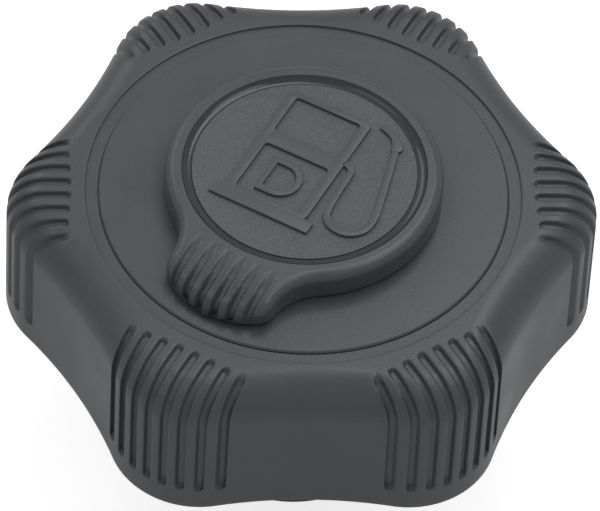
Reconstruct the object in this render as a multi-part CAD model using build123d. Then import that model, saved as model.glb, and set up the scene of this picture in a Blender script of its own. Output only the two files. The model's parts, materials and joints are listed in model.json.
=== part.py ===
"""Lockable, vented fuel filler cap for a 40 mm bayonet neck.

Millimetres, +Z up.  The origin is on the cap's axis, at the lower end of the plug,
so the cap stands on its plug.  The first lobe of the grip points along +X.
"""
from build123d import *
from math import asin, atan2, cos, degrees, pi, radians, sin, sqrt, tan
import os

# ---------------------------------------------------------------- driving dimensions
# Grip: a six-lobed moulded knob
LOBES = 6
LOBE_PITCH = 360 / LOBES
TOP_Z = 63.2                # flat top of the grip
SKIRT_Z = 35.0              # lower rim of the grip
LOBE_CENTRE_R = 34.7        # centre of each lobe's arc
LOBE_R = 15.3               # arc of each lobe, at the rim
FLANK_R = 43.8              # hollow flank between two lobes, distance from the axis
DRAFT = 1.0                 # degrees, the grip narrows towards its top
SHOULDER_R = 6.5            # round between top and wall
SHOULDER_BANDS = 6          # sloped bands that make up the round
RIM_R = 0.6                 # bevel of the outer lower rim
PLATE_T = 3.0               # top plate
LOBE_WALL = 3.7             # wall behind the fluted lobes
FLANK_WALL = 2.6            # wall behind the plain flanks
CAVITY_EDGE = 2.2           # sloped edge inside the top of the cavity

# Flutes: parallel grooves over the shoulder of each lobe
FLUTES = 8
FLUTE_PITCH = 2.92
FLUTE_W = 1.3
FLUTE_DEPTH = 1.1
FLUTE_END_Z = 39.8          # lower end of the flutes on the wall
FLUTE_START_U = (38.9, 39.0, 39.2, 39.6)    # inner ends, from the middle pair outwards

# Round plate that closes the top of the grip
RING_GROOVE_R = 36.5        # outer radius of the shallow ring around the plate
RING_GROOVE_DEPTH = 0.5
DISC_R = 34.3
DISC_GAP = 0.15
DISC_T = 2.5
LEDGE_R = 31.0              # the plate rests on this ledge of the grip
LEDGE_T = 2.5
PAD_R = 14.5                # thick middle of the plate, above the lock
PAD_T = 2.7
HOOKS = 6
HOOK_W = 6.0
HOOK_OUT = 1.4
HOOK_Z = (55.2, 57.0)

# Bearing of the grip on the closure
BEARING_R = 33.3            # inner radius of the bearing skirt
BEARING_WALL = 2.6
SHOULDER_Z = 50.1           # the grip bears down here on the slip ring
BEARING_Z = 45.0            # lower end of the bearing skirt
FLANGE_R = 33.0
FLANGE_Z = (45.7, 49.2)
SLIP_RING = (31.3, 32.8, 0.8)
RETAINER_R = (30.8, 38.0)
RETAINER_Z = (42.8, 45.3)
RETAINER_SCREW_R = 41.0
RETAINER_SCREWS = 3
BOSS_R = 3.4
RIB_T = 1.6

# Lock: housing, key plug, cam and two coupling bolts
LOCK_ANGLE = 150            # direction of the first coupling bolt
PLUG_R = 6.0
PLUG_Z = (50.1, 62.6)
PLUG_FIT = 0.05
PLUG_COLLAR = (7.5, 58.15, 59.4)
KEYWAY = (8.0, 2.2, 50.7)
HOUSING_R = 8.8
HOUSING_Z = 50.2
HOUSING_FLANGE = (13.5, 56.0, 58.0)
GUIDE_W = 16.0
GUIDE_R = 20.3
GUIDE_Z = 55.0
HOUSING_SCREW_R = 11.4
WAFERS = 4
WAFER = (10.6, 5.0, 1.2)
WAFER_PITCH = 1.8
WAFER_Z = 50.95
WAFER_GROOVE = 7.3
TAIL_W = 6.0
TAIL_Z = 47.6
CAM_R = 15.6
CAM_Z = (47.9, 49.9)
BOLT_PIN_R = 1.3
BOLT_PIN_AT = 10.8          # the pin's distance from the axis with the bolt drawn in
BOLT_TRAVEL = 2.36          # over a quarter turn of the key
BOLT_W = 6.8
BOLT_Y = (9.4, 21.3)
BOLT_Z = (50.0, 53.5)
FIT = 0.1                   # play each side of a sliding piece
CLEAR = 0.3                 # play round pieces of different bodies that don't touch

# Drive ring on the closure, with notches for the bolts
DRIVE_R = (22.0, 26.0)
DRIVE_Z = 54.2
NOTCHES = 12
NOTCH_W = 7.9
NOTCH_R = 24.6

# Closure: flange, tube and bayonet lugs
TUBE_R = 19.3
TUBE_WALL = 2.5
TUBE_Z = 18.0
FLOOR_Z = (37.2, 39.2)
LUG_R = 23.4
LUG_HALF_ANGLE = 20
LUG_Z = (30.5, 34.7)
LUG_STOP_Z = 37.4
GASKET = (19.4, 29.8, 42.7)
BREATHERS = 3

# Valve at the lower end
CUP_R = 19.0
CUP_WALL = 2.0
CUP_EDGE = 0.8
SPIGOT_TOP = 22.5
VENT_SLOTS = 6
SEAT_Z = (22.5, 25.0)
SEAT_LIP = (5.6, 6.8, 25.8)
ORIFICE_R = 5.0
PRESSURE_DISC = (8.2, 26.6, 28.4)
PRESSURE_SEAL = (4.9, 7.6)
VACUUM_DISC = (4.5, 25.6)
STEM_R = 1.25
STEM_TOP = 33.0
CLIP_Z = (32.0, 32.6)
PORT_AT = 3.1

# Key cover, which swings aside about an off-centre pivot
COVER_GAP = 0.3
COVER_TOP = 68.7
COVER_R = 22.9
COVER_EDGE = 0.9
COVER_RING = (18.7, 20.4, 0.6)
COVER_ROOF = 2.3
TAB_ANGLE = 240
TAB_HALF_W = 9.3
TAB_TIP = 31.6
TAB_TIP_R = 15.0
TAB_CORNER_R = 3.0
TAB_BLEND_R = 7.0
TAB_CROWN = (20.6, 30.0)    # where the tab's top starts to fall, and its radius there
TAB_NOSE_R = 4.2
TAB_OVERHANG = 0.6          # the nose's arc ends this far beyond the tip
TAB_RIBS = 6
TAB_RIB_PITCH = 2.8
TAB_VALLEY = (1.25, 0.7)
TAB_VALLEY_START = 21.3
PIVOT_AT = 18.5
PIVOT_ANGLE = 60
PIVOT_R = 2.0
PIVOT_BOSS_R = 4.2
SWING = 115
STOP_AT = 6.5
STOP_R = 1.0
STOP_DEPTH = 1.6


# ---------------------------------------------------------------- helpers
def polar(radius, angle):
    """Point in plan at a radius and an angle in degrees."""
    return radius * cos(radians(angle)), radius * sin(radians(angle))


def at(radius, angle, z=0):
    """Location at a polar point, turned so that its X axis points outwards."""
    x, y = polar(radius, angle)
    return Location((x, y, z), (0, 0, angle))


def disc(radius, z0, z1):
    """Solid cylinder on the cap's axis between two heights."""
    return Pos(0, 0, z0) * extrude(Circle(radius), z1 - z0)


def ring(r_in, r_out, z0, z1):
    """Solid ring on the cap's axis."""
    return Pos(0, 0, z0) * extrude(Circle(r_out) - Circle(r_in), z1 - z0)


def block(x0, x1, y0, y1, z0, z1):
    """Box between two corners."""
    size = Box(x1 - x0, y1 - y0, z1 - z0, align=(Align.MIN, Align.MIN, Align.MIN))
    return Pos(x0, y0, z0) * size


def hollow_radius(lobe_r, flank_r):
    """Radius of the hollow arc that is tangent to two neighbouring lobes."""
    step = sqrt(3) * LOBE_CENTRE_R
    return (lobe_r**2 - flank_r**2 + step * flank_r - LOBE_CENTRE_R**2) / (2 * flank_r - step - 2 * lobe_r)


def lobed_outline(lobe_r, flank_r):
    """Six convex arcs joined by six hollow arcs, all tangent."""
    c = LOBE_CENTRE_R
    hollow_r = hollow_radius(lobe_r, flank_r)
    far_x, far_y = polar(hollow_r + flank_r, LOBE_PITCH / 2)
    spread = degrees(atan2(far_y, far_x - c))
    edges = []
    for k in range(LOBES):
        turn = Rot(0, 0, k * LOBE_PITCH)
        joint_x = c + lobe_r * cos(radians(spread))
        joint_y = lobe_r * sin(radians(spread))
        lobe = ThreePointArc((joint_x, -joint_y), (c + lobe_r, 0), (joint_x, joint_y))
        next_start = Vector(joint_x, -joint_y).rotate(Axis.Z, LOBE_PITCH)
        flank = ThreePointArc((joint_x, joint_y), polar(flank_r, LOBE_PITCH / 2), next_start)
        edges += [turn * lobe, turn * flank]
    return make_face(edges)


def lobed_block(inset, z1, top_r):
    """The grip's outer form, set in all round by an inset, its shoulder built up of sloped bands."""
    low = z1 - top_r
    slope = tan(radians(DRAFT))
    base = inset + (low - SKIRT_Z) * slope
    outline = lobed_outline(LOBE_R - inset, FLANK_R - inset)
    body = Pos(0, 0, SKIRT_Z) * extrude(outline, low - SKIRT_Z, taper=DRAFT)
    step = 90 / SHOULDER_BANDS
    for k in range(SHOULDER_BANDS):
        a0, a1 = radians(k * step), radians((k + 1) * step)
        in0, in1 = base + top_r * (1 - cos(a0)), base + top_r * (1 - cos(a1))
        z0, rise = low + top_r * sin(a0), top_r * (sin(a1) - sin(a0))
        band = extrude(lobed_outline(LOBE_R - in0, FLANK_R - in0), rise, taper=degrees(atan2(in1 - in0, rise)))
        body += Pos(0, 0, z0) * band
    return body


def screw(head_r, head_h, shank_r, length):
    """Slotted screw, head down, with its shank pointing up from Z = 0."""
    head = chamfer(Cylinder(head_r, head_h).edges().group_by(Axis.Z)[0], head_h * 0.3)
    slot = Pos(0, 0, -head_h / 2) * Box(2 * head_r, head_r * 0.3, 0.8)
    shank = Cylinder(shank_r, length, align=(Align.CENTER, Align.CENTER, Align.MIN))
    return Pos(0, 0, -head_h / 2) * (head - slot) + shank


def coil(mean_r, wire, z0, z1, turns):
    """Flat-wire compression spring between two heights."""
    rise = z1 - z0 - wire
    path = Helix(pitch=rise / turns, height=rise, radius=mean_r)
    section = Plane(origin=path @ 0, z_dir=path % 0) * Rectangle(wire, wire)
    return Pos(0, 0, z0 + wire / 2) * sweep(section, path=path, is_frenet=True)


# ---------------------------------------------------------------- grip
def outline_at(side, inset):
    """Distance along a lobe's axis of the set-in outline, at a sideways distance from that axis."""
    c = LOBE_CENTRE_R
    lobe = LOBE_R - inset
    reach = hollow_radius(LOBE_R, FLANK_R) + FLANK_R
    far_x, far_y = polar(reach, LOBE_PITCH / 2)
    if side <= lobe * sin(atan2(far_y, far_x - c)):
        return c + sqrt(lobe**2 - side**2)
    hollow = reach - FLANK_R + inset
    return far_x - sqrt(hollow**2 - (side - far_y) ** 2)


def flute_cutter(side, start):
    """Cuts one flute at a sideways distance from the lobe's axis, down over the shoulder."""
    slope = tan(radians(DRAFT))
    shoulder_low = TOP_Z - SHOULDER_R
    round_r = SHOULDER_R - FLUTE_DEPTH
    base = (shoulder_low - SKIRT_Z) * slope + SHOULDER_R
    curve = []
    for turn in (0, 18, 36, 54, 72, 90):
        u = outline_at(side, base - round_r * cos(radians(turn)))
        curve.append((u, shoulder_low + round_r * sin(radians(turn))))
    low = (outline_at(side, (FLUTE_END_Z - SKIRT_Z) * slope + FLUTE_DEPTH), FLUTE_END_Z)
    inner = (min(start, curve[-1][0] - 1), curve[-1][1])
    far = LOBE_CENTRE_R + LOBE_R + 5
    outside = [inner, (inner[0], TOP_Z + 1), (far, TOP_Z + 1), (far, FLUTE_END_Z), low]
    region = make_face(Polyline(*curve, *outside, close=True))
    cutter = extrude(Plane.XZ * region, FLUTE_W / 2, both=True)
    return cutter & block(start, far, -FLUTE_W, FLUTE_W, SKIRT_Z, TOP_Z + 1)


def flute_cutters():
    """All flutes, as cutters in their places."""
    cutters = []
    for k, start in enumerate(FLUTE_START_U):
        side = (k + 0.5) * FLUTE_PITCH
        one = flute_cutter(side, start)
        for lobe in range(LOBES):
            for shift in (-side, side):
                cutters.append(Rot(0, 0, lobe * LOBE_PITCH) * Pos(0, shift, 0) * one)
    return cutters


def make_grip_shell():
    body = lobed_block(0, TOP_Z, SHOULDER_R)
    body = chamfer(body.faces().sort_by(Axis.Z)[0].edges(), RIM_R)
    body -= flute_cutters()
    plate_z = TOP_Z - PLATE_T
    cavity_outline = lobed_outline(LOBE_R - LOBE_WALL, FLANK_R - FLANK_WALL)
    cavity = Pos(0, 0, SKIRT_Z) * extrude(cavity_outline, plate_z - SKIRT_Z, taper=DRAFT)
    cavity = chamfer(cavity.faces().sort_by(Axis.Z)[-1].edges(), CAVITY_EDGE)
    body -= cavity

    # Bearing skirt with an inner shoulder, hanging from the ledge
    disc_floor = TOP_Z - DISC_T
    outer = BEARING_R + BEARING_WALL
    step = BEARING_R + FIT
    profile = Polyline(
        (LEDGE_R, disc_floor),
        (LEDGE_R, SHOULDER_Z),
        (BEARING_R, SHOULDER_Z),
        (BEARING_R, BEARING_Z),
        (outer, BEARING_Z),
        (outer, SHOULDER_Z + BEARING_WALL),
        (step, SHOULDER_Z + BEARING_WALL),
        (step, disc_floor - LEDGE_T),
        (outer + PLATE_T, disc_floor - LEDGE_T),
        (outer + PLATE_T, disc_floor),
        close=True,
    )
    skirt = revolve(Plane.XZ * make_face(profile), Axis.Z)

    # One rib in each lobe, and a screw boss on every second rib
    for k in range(LOBES):
        turn = Rot(0, 0, k * LOBE_PITCH)
        rib = block(outer - 1, LOBE_CENTRE_R + LOBE_R - 2, -RIB_T / 2, RIB_T / 2, BEARING_Z, plate_z)
        body += turn * rib & lobed_block(1.5, TOP_Z - 1.5, SHOULDER_R - 1.5)
    body += skirt
    for k in range(RETAINER_SCREWS):
        place = at(RETAINER_SCREW_R, k * 360 / RETAINER_SCREWS, BEARING_Z)
        body += place * extrude(Circle(BOSS_R), plate_z - BEARING_Z)
        body -= place * extrude(Circle(1.55), 9.5)

    # Pocket for the round plate, the shallow ring groove and the hooks' windows
    body -= disc(DISC_R + DISC_GAP, disc_floor, TOP_Z + 1)
    body -= disc(RING_GROOVE_R, TOP_Z - RING_GROOVE_DEPTH, TOP_Z + 1)
    body -= disc(LEDGE_R, SHOULDER_Z, TOP_Z)
    for k in range(HOOKS):
        half = HOOK_W / 2 + 0.4
        window = block(LEDGE_R - 2, LEDGE_R + 2.1, -half, half, HOOK_Z[0] - 0.3, HOOK_Z[1] + 0.3)
        body -= Rot(0, 0, (k + 0.5) * 360 / HOOKS) * window
    return body


def make_top_disc():
    floor = TOP_Z - DISC_T
    plate = disc(DISC_R, floor, TOP_Z)
    plate = chamfer(plate.edges().group_by(Axis.Z)[-1], 0.25)
    plate += disc(PAD_R, floor - PAD_T, floor)
    pivot = at(PIVOT_AT, PIVOT_ANGLE, floor - PAD_T - CLEAR)
    plate += pivot * extrude(Circle(PIVOT_BOSS_R), PAD_T + CLEAR)
    plate -= pivot * extrude(Circle(PIVOT_R + PLUG_FIT), 20)
    plate -= disc(PLUG_R + CLEAR, 0, TOP_Z + 1)
    collar_r, collar_low, collar_high = PLUG_COLLAR
    plate -= disc(collar_r + CLEAR, 0, collar_high + FIT)
    for side in (60, 240):
        plate -= at(HOUSING_SCREW_R, side) * extrude(Circle(1.05), floor + 0.2)

    # Blind arc groove for the cover's stop peg, about the pivot
    px, py = polar(PIVOT_AT, PIVOT_ANGLE)
    inward = PIVOT_ANGLE + 180
    sweep_points = []
    for turn in (-SWING / 2, 0, SWING / 2):
        dx, dy = polar(STOP_AT, inward + turn)
        sweep_points.append((px + dx, py + dy))
    track = SlotArc(ThreePointArc(*sweep_points), 2 * (STOP_R + CLEAR))
    plate -= Pos(0, 0, TOP_Z - STOP_DEPTH) * extrude(track, STOP_DEPTH + 1)

    # Snap hooks that catch in the windows of the bearing skirt
    low, high = HOOK_Z
    face = LEDGE_R - 0.3
    profile = Polyline(
        (face - 1.5, floor + 0.5),
        (face - 1.5, low),
        (face, low),
        (face + HOOK_OUT, high - 0.3),
        (face + HOOK_OUT, high),
        (face, high),
        (face, floor + 0.5),
        close=True,
    )
    hook = extrude(Plane.XZ * make_face(profile), HOOK_W / 2, both=True)
    for k in range(HOOKS):
        plate += Rot(0, 0, (k + 0.5) * 360 / HOOKS) * hook
    return plate


def make_retaining_ring():
    low, high = RETAINER_Z
    r_in, r_out = RETAINER_R
    body = ring(r_in, r_out, low, BEARING_Z) + ring(r_in, BEARING_R - CLEAR, low, high)
    body = chamfer(body.edges().group_by(Axis.Z)[0].filter_by(GeomType.CIRCLE), 0.4)
    for k in range(RETAINER_SCREWS):
        angle = k * 360 / RETAINER_SCREWS
        ear = SlotCenterToCenter(2 * (RETAINER_SCREW_R - r_out + 2), 2 * BOSS_R)
        reach = at(r_out - 2, angle, low) * extrude(ear, BEARING_Z - low)
        body += reach - disc(r_in + 2, low - 1, high + 1)
        body -= at(RETAINER_SCREW_R, angle, low - 1) * extrude(Circle(1.7), 5)
    return body


def make_ring_screws():
    one = screw(2.8, 1.9, 1.5, 10)
    places = [at(RETAINER_SCREW_R, k * 360 / RETAINER_SCREWS, RETAINER_Z[0]) for k in range(RETAINER_SCREWS)]
    return Compound([place * one for place in places])


# ---------------------------------------------------------------- lock
def make_lock_housing():
    flange_r, flange_low, flange_high = HOUSING_FLANGE
    body = disc(HOUSING_R, HOUSING_Z, flange_high) + disc(flange_r, flange_low, flange_high)
    guide = disc(GUIDE_R, HOUSING_Z, GUIDE_Z) & block(-GUIDE_R, GUIDE_R, -GUIDE_W / 2, GUIDE_W / 2, 0, TOP_Z)
    body += guide
    bolt_top = BOLT_Z[1] + FIT
    half = BOLT_W / 2 + FIT
    for side in (0, 180):
        body -= Rot(0, 0, side) * block(HOUSING_R, GUIDE_R + 1, -half, half, 0, bolt_top)
    body -= disc(PLUG_R + PLUG_FIT, 0, TOP_Z)
    # The wafers spring out into one of two grooves, with the key turned back or through 90 degrees
    half = WAFER[1] / 2 + CLEAR
    for turn in (0, 90):
        body -= Rot(0, 0, turn) * block(-half, half, 0, WAFER_GROOVE, HOUSING_Z + 0.6, flange_high)
    for side in (-90, 90):
        body -= at(HOUSING_SCREW_R, side) * extrude(Circle(1.15), TOP_Z)
    return Rot(0, 0, LOCK_ANGLE) * body


def make_housing_screws():
    one = screw(1.95, 1.5, 1.0, 4.7)
    places = [at(HOUSING_SCREW_R, angle, HOUSING_FLANGE[1]) for angle in (60, 240)]
    return Compound([place * one for place in places])


def wafer_levels():
    """Lower face of each wafer."""
    return [WAFER_Z + k * WAFER_PITCH for k in range(WAFERS)]


def make_key_plug():
    low, high = PLUG_Z
    body = chamfer(disc(PLUG_R, low, high).edges().group_by(Axis.Z)[-1], 0.4)
    collar_r, collar_low, collar_high = PLUG_COLLAR
    body += disc(collar_r, collar_low, collar_high)
    tail = TAIL_W / 2
    body += block(-tail, tail, -tail, tail, TAIL_Z, low)
    key_w, key_t, key_low = KEYWAY
    body -= block(-key_t / 2, key_t / 2, -key_w / 2, key_w / 2, key_low, high + 1)
    slot_half = WAFER[1] / 2 + FIT
    for level in wafer_levels():
        body -= block(-slot_half, slot_half, -PLUG_R, PLUG_R, level - PLUG_FIT, level + WAFER[2] + PLUG_FIT)
    body -= disc(1.2, 0, low)
    return Rot(0, 0, LOCK_ANGLE) * body


def make_wafer(level):
    length, width, thick = WAFER
    plate = extrude(Rectangle(width, length) - Rectangle(KEYWAY[1] + 0.2, KEYWAY[0] + 0.2), thick)
    return Rot(0, 0, LOCK_ANGLE) * Pos(0, 0, level) * plate


def make_lock_cam():
    low, high = CAM_Z
    body = disc(CAM_R, low, high)
    hole = TAIL_W / 2 + PLUG_FIT
    body -= block(-hole, hole, -hole, hole, low - 1, high + 1)
    points = []
    for step in (0, 0.5, 1):
        points.append(polar(BOLT_PIN_AT + BOLT_TRAVEL * step, -90 * step))
    track = extrude(SlotArc(ThreePointArc(*points), 2 * (BOLT_PIN_R + CLEAR)), high - low + 2)
    for side in (0, 180):
        body -= Rot(0, 0, side) * Pos(0, 0, low - 1) * track
    return Rot(0, 0, LOCK_ANGLE) * body


def make_cam_screw():
    return Pos(0, 0, TAIL_Z) * screw(4.4, 1.7, 1.15, 2.3)


def make_coupling_bolt(angle):
    near, far = BOLT_Y
    low, high = BOLT_Z
    half = BOLT_W / 2
    bar = block(near, far, -half, half, low, high)
    tip = bar.edges().filter_by(Axis.Z).group_by(Axis.X)[-1]
    bar = chamfer(tip, 0.6)
    pin_low = CAM_Z[0] + FIT
    bar += Pos(BOLT_PIN_AT, 0, pin_low) * extrude(Circle(BOLT_PIN_R), low - pin_low)
    return Rot(0, 0, angle) * bar


# ---------------------------------------------------------------- closure and valve
def make_closure_body():
    low, high = FLANGE_Z
    bore = TUBE_R - TUBE_WALL
    profile = Polyline(
        (bore, TUBE_Z),
        (TUBE_R, TUBE_Z),
        (TUBE_R, low),
        (FLANGE_R, low),
        (FLANGE_R, high),
        (DRIVE_R[1], high),
        (DRIVE_R[1], DRIVE_Z),
        (DRIVE_R[0], DRIVE_Z),
        (DRIVE_R[0], high),
        (bore, high),
        close=True,
    )
    body = revolve(Plane.XZ * make_face(profile), Axis.Z)
    for k in range(NOTCHES):
        half = NOTCH_W / 2
        body -= Rot(0, 0, k * 360 / NOTCHES) * block(DRIVE_R[0] - 2, NOTCH_R, -half, half, high, DRIVE_Z + 1)
    floor = disc(bore + 0.5, *FLOOR_Z)
    floor -= disc(2.0, *FLOOR_Z)
    for k in range(BREATHERS):
        floor -= at(11, 30 + k * 120, FLOOR_Z[0]) * extrude(Circle(1.5), FLOOR_Z[1] - FLOOR_Z[0])
    body += floor

    # Two bayonet lugs, each with a lead-in ramp and a stop
    sector = make_sector(bore + 1, LUG_R, LUG_HALF_ANGLE)
    stop = Rot(0, 0, LUG_HALF_ANGLE - 3) * make_sector(bore + 1, LUG_R, 3)
    ramp_turn = LUG_HALF_ANGLE * 0.55
    ramp = Rot(0, 0, -ramp_turn) * Pos(0, 0, LUG_Z[1]) * Rot(-12, 0, 0) * block(0, 40, -30, 0, 0, 8)
    lug = Pos(0, 0, LUG_Z[0]) * extrude(sector, LUG_Z[1] - LUG_Z[0])
    lug -= ramp
    lug += Pos(0, 0, LUG_Z[0]) * extrude(stop, LUG_STOP_Z - LUG_Z[0])
    for side in (0, 180):
        body += Rot(0, 0, side) * lug
    return body


def make_sector(r_in, r_out, half_angle):
    """Part of a ring, symmetrical about +X."""
    a0, a1 = polar(r_in, -half_angle), polar(r_out, -half_angle)
    b0, b1 = polar(r_in, half_angle), polar(r_out, half_angle)
    edges = [Line(a0, a1), ThreePointArc(a1, (r_out, 0), b1), Line(b1, b0), ThreePointArc(b0, (r_in, 0), a0)]
    return make_face(edges)


def make_neck_gasket():
    r_in, r_out, low = GASKET
    body = ring(r_in, r_out, low, FLANGE_Z[0])
    return chamfer(body.edges().group_by(Axis.Z)[0], 0.4)


def make_slip_ring():
    r_in, r_out, thick = SLIP_RING
    return ring(r_in, r_out, FLANGE_Z[1], FLANGE_Z[1] + thick)


def make_valve_cup():
    inner = CUP_R - CUP_WALL
    spigot = TUBE_R - TUBE_WALL - PLUG_FIT
    body = disc(CUP_R, 0, TUBE_Z)
    body = chamfer(body.edges().group_by(Axis.Z)[0], CUP_EDGE)
    body += disc(spigot, TUBE_Z, SPIGOT_TOP)
    body -= disc(spigot - CUP_WALL, CUP_WALL, SPIGOT_TOP)
    body -= disc(inner, CUP_WALL, TUBE_Z - CUP_WALL)
    slot = SlotCenterToCenter(5.0, 3.0)
    for k in range(VENT_SLOTS):
        body -= at(10.5, k * 360 / VENT_SLOTS) * extrude(slot, CUP_WALL)
    body -= disc(2.0, 0, CUP_WALL)
    return body


def make_valve_seat():
    low, high = SEAT_Z
    body = disc(TUBE_R - TUBE_WALL - FIT, low, high)
    body += ring(SEAT_LIP[0], SEAT_LIP[1], high, SEAT_LIP[2])
    return body - disc(ORIFICE_R, low, high)


def make_pressure_disc():
    radius, low, high = PRESSURE_DISC
    body = chamfer(disc(radius, low, high).edges().group_by(Axis.Z)[-1], 0.4)
    body -= disc(STEM_R + FIT, low, high)
    for k in range(4):
        body -= at(PORT_AT, 45 + k * 90, low) * extrude(Circle(0.8), high - low)
    return body


def make_pressure_seal():
    return ring(PRESSURE_SEAL[0], PRESSURE_SEAL[1], SEAT_LIP[2], PRESSURE_DISC[1])


def make_pressure_spring():
    return coil(6.0, 0.8, PRESSURE_DISC[2], FLOOR_Z[0], 2.5)


def make_vacuum_valve():
    radius, low = VACUUM_DISC
    body = disc(radius, low, PRESSURE_DISC[1])
    body += disc(STEM_R, PRESSURE_DISC[1], STEM_TOP)
    return body - ring(STEM_R - 0.35, STEM_R + 1, *CLIP_Z)


def make_stem_clip():
    return ring(STEM_R - 0.35, 3.0, *CLIP_Z)


def make_vacuum_spring():
    return coil(2.2, 0.5, PRESSURE_DISC[2], CLIP_Z[0], 2)


# ---------------------------------------------------------------- key cover
def tab_profile(drop, reach):
    """Side view of the tab's top, set in by a drop, as a face from the cap's axis outwards."""
    start, crown_r = TAB_CROWN
    nose_r = TAB_NOSE_R - drop
    crown_r = crown_r - drop
    top = COVER_TOP - drop
    crown_cz = top - crown_r
    tip = TAB_TIP + TAB_OVERHANG - drop
    nose_u = tip - nose_r
    lean = asin((nose_u - start) / (crown_r - nose_r))
    nose_z = crown_cz + (crown_r - nose_r) * cos(lean)
    turn_u, turn_z = start + crown_r * sin(lean), crown_cz + crown_r * cos(lean)
    half = lean / 2
    crown_mid = (start + crown_r * sin(half), crown_cz + crown_r * cos(half))
    half = (lean + pi / 2) / 2
    nose_mid = (nose_u + nose_r * sin(half), nose_z + nose_r * cos(half))
    low = TOP_Z - 1
    edges = [
        Line((0, low), (0, top)),
        Line((0, top), (start, top)),
        ThreePointArc((start, top), crown_mid, (turn_u, turn_z)),
        ThreePointArc((turn_u, turn_z), nose_mid, (tip, nose_z)),
        Line((tip, nose_z), (tip, low)),
        Line((tip, low), (0, low)),
    ]
    return extrude(Plane.XZ * make_face(edges), reach, both=True)


def cover_outline():
    """Round cover with a thumb tab along +X, blended by hollow curves."""
    tip_mid = (TAB_TIP, 0)
    corner_u = TAB_TIP - TAB_TIP_R + sqrt(TAB_TIP_R**2 - TAB_HALF_W**2)
    corners = ((corner_u, -TAB_HALF_W), (corner_u, TAB_HALF_W))
    edges = [
        Line((0, -TAB_HALF_W), corners[0]),
        ThreePointArc(corners[0], tip_mid, corners[1]),
        Line(corners[1], (0, TAB_HALF_W)),
        Line((0, TAB_HALF_W), (0, -TAB_HALF_W)),
    ]
    plan = Circle(COVER_R) + make_face(edges)
    tips = plan.vertices().group_by(Axis.X)[-1]
    plan = fillet(tips, TAB_CORNER_R)
    root_u = sqrt(COVER_R**2 - TAB_HALF_W**2)
    roots = [v for v in plan.vertices() if abs(v.X - root_u) < 0.1]
    return fillet(roots, TAB_BLEND_R)


def make_key_cover():
    low = TOP_Z + COVER_GAP
    body = Pos(0, 0, low) * extrude(cover_outline(), COVER_TOP - low)
    rear = body & block(-60, 0, -60, 60, 0, 100)
    body = (body & tab_profile(0, 40)) + rear
    curved = [e for e in body.edges() if e.geom_type != GeomType.LINE]
    body = chamfer([e for e in curved if e.bounding_box().min.Z > low + 0.5], COVER_EDGE)

    # Valleys between the tab's ribs
    width, depth = TAB_VALLEY
    core = tab_profile(depth, 40)
    for k in range(TAB_RIBS + 1):
        y = (k - TAB_RIBS / 2) * TAB_RIB_PITCH
        cut = block(TAB_VALLEY_START, TAB_TIP + 1, y - width / 2, y + width / 2, low + 1.2, COVER_TOP + 1)
        body -= cut - core

    # Fine ring around the pictogram field
    r_in, r_out, groove = COVER_RING
    floor = COVER_TOP - groove
    slope = 0.35
    profile = Polyline(
        (r_in, COVER_TOP),
        (r_in + slope, floor),
        (r_out - slope, floor),
        (r_out, COVER_TOP),
        close=True,
    )
    body -= revolve(Plane.XZ * make_face(profile), Axis.Z)

    # Hollow underside, then the pivot boss and the stop peg in the cap's own directions
    body -= disc(COVER_R - 2, low, COVER_TOP - COVER_ROOF)
    body -= block(18, TAB_TIP - 4.6, -TAB_HALF_W + 2.6, TAB_HALF_W - 2.6, low, low + 1.9)
    body = Rot(0, 0, TAB_ANGLE) * body
    px, py = polar(PIVOT_AT, PIVOT_ANGLE)
    into_roof = COVER_TOP - COVER_ROOF + 0.5
    body += at(PIVOT_AT, PIVOT_ANGLE, low) * extrude(Circle(PIVOT_BOSS_R - 0.4), into_roof - low)
    body -= at(PIVOT_AT, PIVOT_ANGLE, low) * extrude(Circle(1.55), 3.4)
    dx, dy = polar(STOP_AT, PIVOT_ANGLE + 180 - SWING / 2)
    peg_low = TOP_Z - STOP_DEPTH + CLEAR
    body += Pos(px + dx, py + dy, peg_low) * extrude(Circle(STOP_R), into_roof - peg_low)
    return body


def make_pivot_screw():
    washer_low = TOP_Z - DISC_T - PAD_T - CLEAR - 1.1
    shoulder = TOP_Z + COVER_GAP - washer_low
    body = screw(3.5, 1.5, PIVOT_R, shoulder) + extrude(Circle(1.5), shoulder + 3.2)
    return at(PIVOT_AT, PIVOT_ANGLE, washer_low) * body


def make_spring_washer():
    high = TOP_Z - DISC_T - PAD_T - CLEAR
    low = high - 1.1
    r_in, r_out, thick = PIVOT_R + FIT, 3.9, 0.45
    profile = Polyline((r_in, low), (r_in, low + thick), (r_out, high), (r_out, high - thick), close=True)
    return at(PIVOT_AT, PIVOT_ANGLE) * revolve(Plane.XZ * make_face(profile), Axis.Z)


# ---------------------------------------------------------------- all pieces
PIECES = {
    "grip_shell": make_grip_shell,
    "top_disc": make_top_disc,
    "retaining_ring": make_retaining_ring,
    "ring_screws": make_ring_screws,
    "lock_housing": make_lock_housing,
    "housing_screws": make_housing_screws,
    "key_plug": make_key_plug,
    "lock_cam": make_lock_cam,
    "cam_screw": make_cam_screw,
    "coupling_bolt_left": lambda: make_coupling_bolt(LOCK_ANGLE),
    "coupling_bolt_right": lambda: make_coupling_bolt(LOCK_ANGLE + 180),
    "closure_body": make_closure_body,
    "neck_gasket": make_neck_gasket,
    "slip_ring": make_slip_ring,
    "valve_cup": make_valve_cup,
    "valve_seat": make_valve_seat,
    "pressure_disc": make_pressure_disc,
    "pressure_seal": make_pressure_seal,
    "pressure_spring": make_pressure_spring,
    "vacuum_valve": make_vacuum_valve,
    "stem_clip": make_stem_clip,
    "vacuum_spring": make_vacuum_spring,
    "key_cover": make_key_cover,
    "pivot_screw": make_pivot_screw,
    "spring_washer": make_spring_washer,
}

for number, level in enumerate(wafer_levels(), 1):
    PIECES[f"wafer_{number}"] = lambda level=level: make_wafer(level)

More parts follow.
